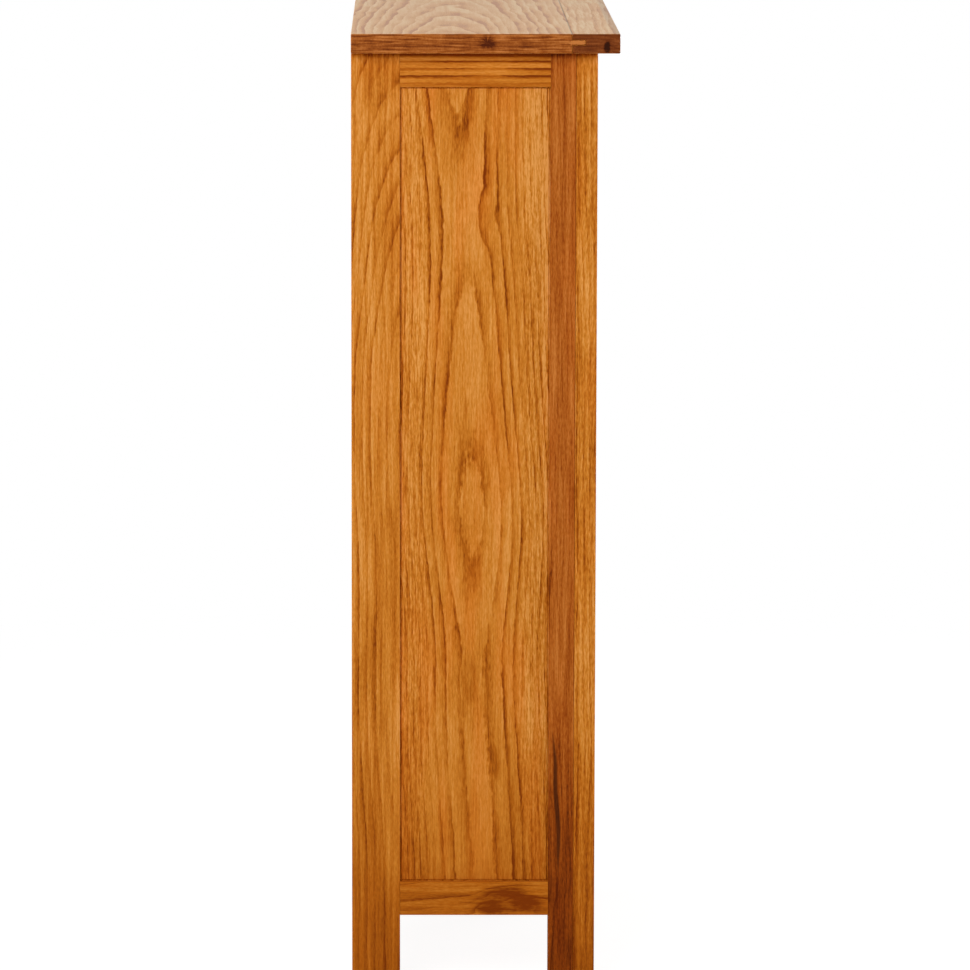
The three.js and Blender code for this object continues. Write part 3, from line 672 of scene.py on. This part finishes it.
side_tenon = 0.014
for hand, outward, seed in (("left", -1.0, 4.0), ("right", 1.0, 14.0)):
    back_leg, front_leg = f"back_leg_{hand}", f"front_leg_{hand}"
    low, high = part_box(back_leg)
    fit(board("oak_" + back_leg, back_leg, "z", [leg_arris] * 4, leg_arris), back_leg,
        oak(back_leg + "_oak", low, high, "z", "x", (-32.0, outward * 40.0), ring=5.2, lean=0.01,
            arches=[(130.0, 0.2, 70.0)], drop=(130.0, 8.0, 500.0), figure=0.8, fibre=0.72, tone=0.31,
            # Its knot is only a darker patch at the top of the leg, just under the top.
            cast=0.25, seed=seed, knots_and_highlights=[(378.0, -4.0, 26.0, 20.0, 0.0, 0.25)]))
    low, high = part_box(front_leg)
    fit(board("oak_" + front_leg, front_leg, "z", [leg_arris] * 4, leg_arris), front_leg,
        oak(front_leg + "_oak", low, high, "z", "x", (60.0, -outward * 20.0), ring=4.0, lean=0.01,
            tones=russet_tones, tone=0.31, figure=0.6, fibre=0.9, seed=seed + 1.0,
            knots_and_highlights=[(-250.0, 0.0, 110.0, 14.0, 4.0, 0.20), (-385.0, 0.0, 80.0, 30.0, 0.0, 0.1)],
            shakes_and_shade_bands=[(-240.0, 3.5, 70.0, 2.2, 3.6, 7.0, 0.76)]))
    for level, rail_seed in (("top", 2.0), ("bottom", 3.0)):
        rail = f"side_{level}_rail_{hand}"
        low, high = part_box(rail)
        if level == "top":
            figured = {"heart": (60.6, 0.0), "wander": 0.8, "sway": 2.0, "figure": 1.8, "fibre": 0.5,
                       "tone": 0.46}
        else:
            figured = {"heart": (-40.0, -outward * 30.0), "lean": -0.15, "jag": 1.4, "figure": 0.7,
                       "fibre": 0.7, "tone": 0.29, "crisp": 2.2,
                       "knots_and_highlights": [(-30.0, -3.0, 36.0, 16.0, 5.0, 0.2), (-24.0, 6.0, 22.0, 5.0, 2.0, 0.24),
                                 (-14.0, -8.0, 14.0, 6.0, 2.0, 0.28), (-44.0, -3.0, 15.0, 8.0, 3.0, 0.28)]}
        fit(board("oak_" + rail, rail, "y", [rail_arris] * 4, joint_arris, side_tenon), rail,
            oak(rail + "_oak", low, high, "y", "x", ring=6.0, seed=seed + rail_seed, **figured))
    opening_low = Vector((low.x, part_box(front_leg)[1].y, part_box(f"side_bottom_rail_{hand}")[1].z))
    opening_high = Vector((high.x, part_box(back_leg)[0].y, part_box(f"side_top_rail_{hand}")[0].z))
    panel = f"side_panel_{hand}"
    low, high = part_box(panel)
    fit(
        floating_panel("oak_" + panel, panel, "x", outward, opening_low, opening_high),
        panel,
        oak(panel + "_oak", low, high, "z", "x", (3.0, -outward * 67.6), ring=3.3, lean=0.03,
            arches=[(-17.5, 0.024, 25.0), (217.5, -0.0457, 25.0)], drop=(-17.5, 3.4, 138.0),
            wander=0.45, jag=0.9, sway=10.0, figure=1.0, fibre=0.68, rift=(34.0, 46.0, 1.7),
            streak=0.25, tone=0.29, cast=0.8, seed=seed + 4.0, years=938.0,
            knots_and_highlights=[(-20.0, 3.5, 36.0, 9.0, 0.0, 0.14), (22.0, 3.5, 13.0, 5.0, 0.0, 0.18),
                   (-164.0, 5.0, 20.0, 8.0, 1.2, 0.12), (229.0, -9.0, 24.0, 10.0, -1.2, 0.05),
                   (312.0, 10.0, 18.0, 6.0, 0.0, 0.1), (-237.0, -18.5, 15.0, 4.0, 0.0, 0.2),
                   # The long narrow pale one near the front edge is a painted highlight along the field's
                   # arris.
                   (-270.0, 6.0, 90.0, 24.0, 0.0, -0.1), (190.0, -59.5, 260.0, 3.5, 0.0, -0.16),
                   (250.0, 0.0, 170.0, 90.0, 0.0, -0.06)]),
    )

# The face frame: two stiles glued to the front legs and two rails tenoned between them, all
# flush. The left stile's inner edge is let in for the leaves of the two hinges.
face_tenon = 0.020
leaf_seat_depth = 0.00185
leaf_seat_height = 0.0505
leaf_seat_play = leaf_seat_depth / 8
uncut = 0.00002
end_inset = uncut / 4


def hinge_stile(name, node, hinge_side, seat_back):
    """A stile along Z whose section loses its front corner on the hinge side over each seat.

    The section is always an L. Away from the seats its missing corner has next to no size, and at
    a seat's end two rings at one height, one of each kind, make the step.
    """
    low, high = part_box(node)
    arrises = [leg_arris] + [square_arris / 8] * 3 + [leg_arris] * 2

    def section(cut_x, cut_y):
        """The L, whose corner is cut this deep along x and y."""
        near, far = (high.x, low.x) if hinge_side > 0 else (low.x, high.x)
        inner = near - hinge_side * cut_x
        points = [
            (far, low.y), (inner, low.y), (inner, low.y + cut_y),
            (near, low.y + cut_y), (near, high.y), (far, high.y),
        ]
        return points if hinge_side > 0 else points[::-1]

    turned_arrises = arrises if hinge_side > 0 else arrises[::-1]
    full = outline(section(uncut, uncut), turned_arrises)
    drawn_in = outline(section(uncut, uncut), turned_arrises, end_inset)
    cut = outline(section(leaf_seat_depth, seat_back - low.y), turned_arrises)
    stops = [(low.z, drawn_in), (low.z + end_inset, full)]
    for hinge in ("lower", "upper"):
        seat_low, seat_top = hinge_seat_heights(hinge)
        stops += [(seat_low, full), (seat_low, cut), (seat_top, cut), (seat_top, full)]
    stops += [(high.z - end_inset, full), (high.z, drawn_in)]
    return skin(name, np.array([along_axis("z", ring, height) for height, ring in stops]))


def hinge_seat_heights(hinge):
    """The lowest and highest point of a hinge's seat."""
    low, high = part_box(f"{hinge}_hinge_pin")
    middle = (low.z + high.z) / 2
    return middle - leaf_seat_height / 2, middle + leaf_seat_height / 2


seat_back_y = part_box("lower_hinge_frame_leaf")[1].y + leaf_seat_play
low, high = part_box("face_stile_left")
fit(hinge_stile("oak_face_stile_left", "face_stile_left", 1, seat_back_y), "face_stile_left",
    oak("face_stile_left_oak", low, high, "z", "y", (14.0, 46.0), ring=4.2, lean=0.01,
        arches=[(200.0, 0.02, 60.0)], figure=0.7, seed=31.0,
        knots_and_highlights=[(-330.0, -14.0, 130.0, 30.0, 0.0, 0.08)]))
low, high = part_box("face_stile_right")
fit(board("oak_face_stile_right", "face_stile_right", "z", [leg_arris] * 4, leg_arris),
    "face_stile_right",
    oak("face_stile_right_oak", low, high, "z", "y", (-40.0, 50.0), ring=4.4, figure=0.7, seed=32.0))
for level, heart, seed in (("top", (50.0, 20.0), 33.0), ("bottom", (-45.0, 30.0), 34.0)):
    rail = f"face_{level}_rail"
    low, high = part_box(rail)
    fit(board("oak_" + rail, rail, "x", [rail_arris] * 4, joint_arris, face_tenon), rail,
        oak(rail + "_oak", low, high, "x", "y", heart, ring=5.0, seed=seed))

# The back: two rails tenoned into the back legs, with a thin panel let into grooves all round.
back_tenon = 0.009
for level, heart, seed in (("top", (-60.0, -30.0), 41.0), ("bottom", (50.0, -20.0), 42.0)):
    rail = f"back_{level}_rail"
    low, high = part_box(rail)
    fit(board("oak_" + rail, rail, "x", [rail_arris] * 4, joint_arris, back_tenon), rail,
        oak(rail + "_oak", low, high, "x", "y", heart, ring=5.5, seed=seed))
low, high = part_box("back_panel")
fit(board("oak_back_panel", "back_panel", "z", [rail_arris] * 4, rail_arris), "back_panel",
    oak("back_panel_oak", low, high, "z", "y", (-30.0, -60.0), ring=6.5, arches=[(60.0, 0.04, 30.0)],
        figure=0.8, seed=43.0))

# Inside: the bottom board lies on a cleat at each side, and three battens under the top carry
# the screws that hold it.
inside_pieces = (
    ("bottom_board", "x", "z", (20.0, -50.0), 51.0),
    ("bottom_cleat_left", "y", "x", (30.0, 30.0), 52.0),
    ("bottom_cleat_right", "y", "x", (-30.0, -30.0), 53.0),
    ("top_batten_front", "x", "y", (40.0, 20.0), 54.0),
    ("top_batten_left", "y", "x", (-25.0, 20.0), 55.0),
    ("top_batten_right", "y", "x", (25.0, -20.0), 56.0),
)
for node, grain, face, heart, seed in inside_pieces:
    low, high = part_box(node)
    fit(board("oak_" + node, node, grain, [rail_arris] * 4, rail_arris), node,
        oak(node + "_oak", low, high, grain, face, heart, ring=5.0, figure=0.8, seed=seed))

# The shelves: loose boards, each resting on four pins, with the front edges rounded over.
shelf_arris = 0.0015
for level, heart, seed in (("lower", (-20.0, -45.0), 61.0), ("upper", (35.0, -55.0), 62.0)):
    node = f"{level}_shelf"
    low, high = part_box(node)
    corners = rectangle(low, high, "x")
    arrises = [shelf_arris, rail_arris, rail_arris, shelf_arris]
    fit(eased_prism("oak_" + node, "x", corners, arrises, (low.x, high.x), rail_arris), node,
        oak(node + "_oak", low, high, "x", "z", heart, ring=5.0, arches=[(-300.0, 0.03, 40.0)], figure=0.8,
            seed=seed))

# The shelf pins: zinc-plated steel, turned with a collar that stops them at the leg.
zinc_tones = [paint(196, 198, 200), paint(168, 170, 174)]
metal_cloud_scale = 320.0
scratch_scale = (9000.0, 900.0, 300.0)
scratch_bump = 0.12
scratch_depth = 0.00005
scratch_roughness = 0.18
cloud_roughness = 0.12


def metal(name, tones, roughness):
    """Plain or plated metal: two tones in small clouds, with fine scratches in its gloss."""
    material = bpy.data.materials.new(name)
    plate = bare_tree(material)
    place = plate.node("ShaderNodeTexCoord", output="Object")
    cloud_sockets = {"Vector": place, "Scale": metal_cloud_scale, "Detail": 3.0}
    cloud = plate.node("ShaderNodeTexNoise", {}, cloud_sockets)
    scratch_place = plate.node("ShaderNodeMapping", {}, {"Vector": place, "Scale": scratch_scale})
    scratch = plate.node("ShaderNodeTexNoise", {}, {"Vector": scratch_place, "Scale": 1.0, "Detail": 1.0})
    tone = plate.node("ShaderNodeValToRGB", {"stops": [(0.35, tones[0]), (0.7, tones[1])]}, {"Fac": cloud})
    bump_sockets = {"Strength": scratch_bump, "Distance": scratch_depth, "Height": scratch}
    bump = plate.node("ShaderNodeBump", {}, bump_sockets)
    finish = plate.node("ShaderNodeBsdfPrincipled", {}, {
        "Base Color": tone,
        "Metallic": 1.0,
        "Roughness": scratch * scratch_roughness + cloud * cloud_roughness + roughness,
        "Normal": bump,
    })
    plate.node("ShaderNodeOutputMaterial", {}, {"Surface": finish})
    return material


zinc = metal("zinc_plate", zinc_tones, 0.2)


def turn(name, axis, centre, profile, sides=32):
    """A piece turned about an axis through a centre: each profile point (radius, height) goes round
    as a ring, centre + radius (cos a, sin a) across the axis and + height along it.
    """
    angle = np.linspace(0.0, 2 * np.pi, sides, endpoint=False)
    circle = np.stack([np.cos(angle), np.sin(angle)], 1)
    w = axes.index(axis)
    middle = np.array([centre[(w + 1) % 3], centre[(w + 2) % 3]])
    rings = [along_axis(axis, middle + radius * circle, centre[w] + height) for radius, height in profile]
    return skin(name, np.array(rings))


pin_collar_thickness = 0.0014
pin_collar_offset = 0.0001
pin_insert = 0.006
pin_radius = 0.0025
pin_arris = 0.0004
for level in ("lower", "upper"):
    for end in ("front", "back"):
        for hand, inward in (("left", 1), ("right", -1)):
            node = f"{level}_shelf_pin_{end}_{hand}"
            low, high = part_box(node)
            root = low.x if inward > 0 else high.x
            tip = high.x if inward > 0 else low.x
            collar = root + inward * (pin_insert + pin_collar_offset)
            collar_radius = (high.z - low.z) / 2
            profile = [
                (pin_radius - pin_arris, root), (pin_radius, root + inward * pin_arris),
                (pin_radius, collar), (collar_radius - pin_arris / 2, collar),
                (collar_radius, collar + inward * pin_arris / 2),
                (collar_radius, collar + inward * (pin_collar_thickness - pin_arris)),
                (collar_radius - pin_arris, collar + inward * pin_collar_thickness),
                (pin_radius, collar + inward * pin_collar_thickness),
                (pin_radius, tip - inward * pin_arris), (pin_radius - pin_arris, tip),
            ]
            centre = (0.0, (low.y + high.y) / 2, (low.z + high.z) / 2)
            fit(turn("zinc_" + node, "x", centre, profile[::inward]), node, zinc)

# The door: two stiles and two rails, mortised and tenoned, round a floating panel like those of
# the sides. The hinge stile's edge is let in for the hinge leaves.
door_tenon = 0.026
low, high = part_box("door_hinge_stile")
fit(hinge_stile("oak_door_hinge_stile", "door_hinge_stile", -1, seat_back_y), "door_hinge_stile",
    oak("door_hinge_stile_oak", low, high, "z", "y", (40.0, 50.0), ring=5.0, figure=0.7, seed=71.0))
low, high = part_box("door_lock_stile")
fit(board("oak_door_lock_stile", "door_lock_stile", "z", [leg_arris] * 4, rail_arris),
    "door_lock_stile",
    oak("door_lock_stile_oak", low, high, "z", "y", (-34.0, 60.0), ring=4.6, figure=0.7, seed=72.0))
for level, heart, seed in (("top", (30.0, 25.0), 73.0), ("bottom", (-40.0, 35.0), 74.0)):
    rail = f"door_{level}_rail"
    low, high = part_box(rail)
    fit(board("oak_" + rail, rail, "x", [rail_arris] * 4, joint_arris, door_tenon), rail,
        oak(rail + "_oak", low, high, "x", "y", heart, ring=5.2, seed=seed))
stile_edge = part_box("door_hinge_stile")[1].x
opening_low = Vector((stile_edge, low.y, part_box("door_bottom_rail")[1].z))
opening_high = Vector((-stile_edge, high.y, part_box("door_top_rail")[0].z))
low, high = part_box("door_panel")
fit(
    floating_panel("oak_door_panel", "door_panel", "y", -1.0, opening_low, opening_high),
    "door_panel",
    oak("door_panel_oak", low, high, "z", "y", (-12.0, 74.0), ring=6.2, lean=-0.01,
        arches=[(-90.0, 0.045, 30.0)], seed=75.0),
)

# The butt hinges: drawn brass leaves, whose knuckles take turns on a steel pin. Each leaf is held
# by three countersunk screws with slotted heads.
brass_tones = [paint(206, 168, 96), paint(150, 112, 52)]
brass = metal("drawn_brass", brass_tones, 0.18)
screw_radius = 0.0019
screw_crown = 0.00025
screw_depth = 0.0006
slot_half_width = 0.14
slot_shoulder = slot_half_width * 1.6
slot_depth = 0.0003
screw_tip = 0.995
screw_side_rings = 7
screw_ring_points = 15
hinge_screw_pitch = 0.017


def screw_head(name, axis, centre, direction):
    """A slotted head that faces along an axis. On the square -1 <= u, v <= 1, the point is
    (r u, r v sqrt(1 - u^2)) at a height of crown (1 - u^2)(1 - v^2), less the slot's depth where
    |u| is under the slot's half width. Each u gives a ring that closes along the flat underside.
    """
    slot_edges = np.array([-slot_half_width, -slot_half_width, slot_half_width, slot_half_width])
    side = np.linspace(screw_tip, slot_shoulder, screw_side_rings)
    u = np.concatenate([-side, slot_edges, side[::-1]])
    in_slot = np.zeros(len(u), bool)
    in_slot[len(side) + 1:len(side) + 3] = True
    v = np.linspace(-1.0, 1.0, screw_ring_points)
    across = np.sqrt(1 - u ** 2)[:, None] * v[None, :]
    height = screw_crown * (1 - u ** 2)[:, None] * (1 - v ** 2)[None, :]
    height = height - slot_depth * in_slot[:, None]
    under = np.full_like(across, -screw_depth)
    ring_v = np.concatenate([across, across[:, ::-1]], 1) * screw_radius
    ring_w = np.concatenate([height, under], 1)
    ring_u = np.repeat(u[:, None] * screw_radius, ring_v.shape[1], 1)
    w = axes.index(axis)
    rings = np.empty((*ring_u.shape, 3))
    rings[:, :, (w + 1) % 3] = centre[(w + 1) % 3] + ring_u * -direction
    rings[:, :, (w + 2) % 3] = centre[(w + 2) % 3] + ring_v
    rings[:, :, w] = centre[w] + ring_w * direction
    return skin(name, rings)


def dress(node, material):
    """Gives a solid that already has its full form the finish of the real piece."""
    solid = frame["nodes"][node]
    solid.data.materials.clear()
    solid.data.materials.append(material)


hinge_leaf_middle = 0.0085
for hinge in ("lower", "upper"):
    low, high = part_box(f"{hinge}_hinge_pin")
    axis_y, middle_z = (low.y + high.y) / 2, (low.z + high.z) / 2
    dress(f"{hinge}_hinge_pin", zinc)
    faces = (
        ("frame_leaf", "face_stile_left", 1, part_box("face_stile_left")[1].x),
        ("door_leaf", "door_hinge_stile", -1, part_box("door_hinge_stile")[0].x),
    )
    for leaf, stile, direction, face_x in faces:
        dress(f"{hinge}_hinge_{leaf}", brass)
        for number, step in enumerate((-1, 0, 1)):
            centre = (face_x, axis_y + hinge_leaf_middle, middle_z + step * hinge_screw_pitch)
            screw = screw_head(f"{hinge}_{leaf}_screw_{number + 1}", "x", centre, direction)
            attach(screw, stile, brass)

# The knob: turned from dark oak with a foot, a waist and a domed face, and held from behind by a
# steel screw through the lock stile.
knob_low, knob_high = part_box("knob")
knob_radius = (knob_high.x - knob_low.x) / 2
knob_projection = knob_high.y - knob_low.y
knob_centre = ((knob_low.x + knob_high.x) / 2, knob_high.y, (knob_low.z + knob_high.z) / 2)
knob_foot_radius = 0.008
knob_foot_height = 0.0016
knob_waist_radius = 0.0056
knob_waist_height = 0.0038
knob_rim_height = 0.009
knob_tip_radius = knob_radius / 100
knob_curve_points = 13
knob_sides = 64


def knob_profile():
    """Radius and height of the foot, then a quarter ellipse out to the rim and one over the face."""
    t = np.linspace(0.0, np.pi / 2, knob_curve_points)
    flare = np.stack([
        knob_waist_radius + (knob_radius - knob_waist_radius) * (1 - np.cos(t)),
        knob_waist_height + (knob_rim_height - knob_waist_height) * np.sin(t),
    ], 1)
    dome = np.stack([
        knob_radius * np.cos(t),
        knob_rim_height + (knob_projection - knob_rim_height) * np.sin(t),
    ], 1)[1:]
    dome[-1, 0] = knob_tip_radius
    foot = [(knob_foot_radius, 0.0), (knob_foot_radius, knob_foot_height)]
    return np.concatenate([foot, flare, dome])


profile = [(radius, -height) for radius, height in knob_profile()[::-1]]
knob_oak = oak("knob_oak", knob_low, knob_high, "z", "y", (0.0, 30.0), ring=2.6, tones=russet_tones,
               seed=81.0)
fit(turn("oak_knob", "y", knob_centre, profile, knob_sides), "knob", knob_oak)
dress("knob_screw", zinc)

# The magnetic catch: a brown moulded case under the front batten holds a magnet between two steel
# poles, and a strike plate on the back of the door meets them.
case_tones = (paint(112, 72, 42), paint(96, 60, 34))
case_screw_inset = 0.004
plate_screw_inset = 0.006
plate_arris = 0.0003
plate_corner = 0.002
pebble_scale = 1800.0
pebble_bump = 0.2
pebble_depth = 0.0001
pebble_roughness = 0.2
case_cloud_scale = 90.0
case_roughness = 0.35


def moulding(name, tones):
    """Moulded plastic: a fine pebbled bump and a faintly uneven tone."""
    material = bpy.data.materials.new(name)
    plastic = bare_tree(material)
    place = plastic.node("ShaderNodeTexCoord", output="Object")
    pebble_sockets = {"Vector": place, "Scale": pebble_scale, "Detail": 2.0}
    pebble = plastic.node("ShaderNodeTexNoise", {}, pebble_sockets)
    cloud = plastic.node("ShaderNodeTexNoise", {}, {"Vector": place, "Scale": case_cloud_scale})
    tone = plastic.node("ShaderNodeValToRGB", {"stops": [(0.3, tones[0]), (0.7, tones[1])]}, {"Fac": cloud})
    bump_sockets = {"Strength": pebble_bump, "Distance": pebble_depth, "Height": pebble}
    bump = plastic.node("ShaderNodeBump", {}, bump_sockets)
    finish = plastic.node("ShaderNodeBsdfPrincipled", {}, {
        "Base Color": tone,
        "Roughness": pebble * pebble_roughness + case_roughness,
        "Normal": bump,
    })
    plastic.node("ShaderNodeOutputMaterial", {}, {"Surface": finish})
    return material


dress("catch_case", moulding("brown_moulding", case_tones))
dress("catch_magnet", zinc)
case_low, case_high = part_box("catch_case")
for number, x in enumerate((case_low.x + case_screw_inset, case_high.x - case_screw_inset)):
    centre = (x, (case_low.y + case_high.y) / 2, case_low.z)
    attach(screw_head(f"catch_case_screw_{number + 1}", "z", centre, -1), "catch_case", zinc)
low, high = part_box("strike_plate")
fit(eased_prism("zinc_strike_plate", "y", rectangle(low, high, "y"), [plate_corner] * 4,
                (low.y, high.y), plate_arris), "strike_plate", zinc)
for number, x in enumerate((low.x + plate_screw_inset, high.x - plate_screw_inset)):
    centre = (x, high.y, (low.z + high.z) / 2)
    attach(screw_head(f"strike_plate_screw_{number + 1}", "y", centre, 1), "strike_plate", zinc)
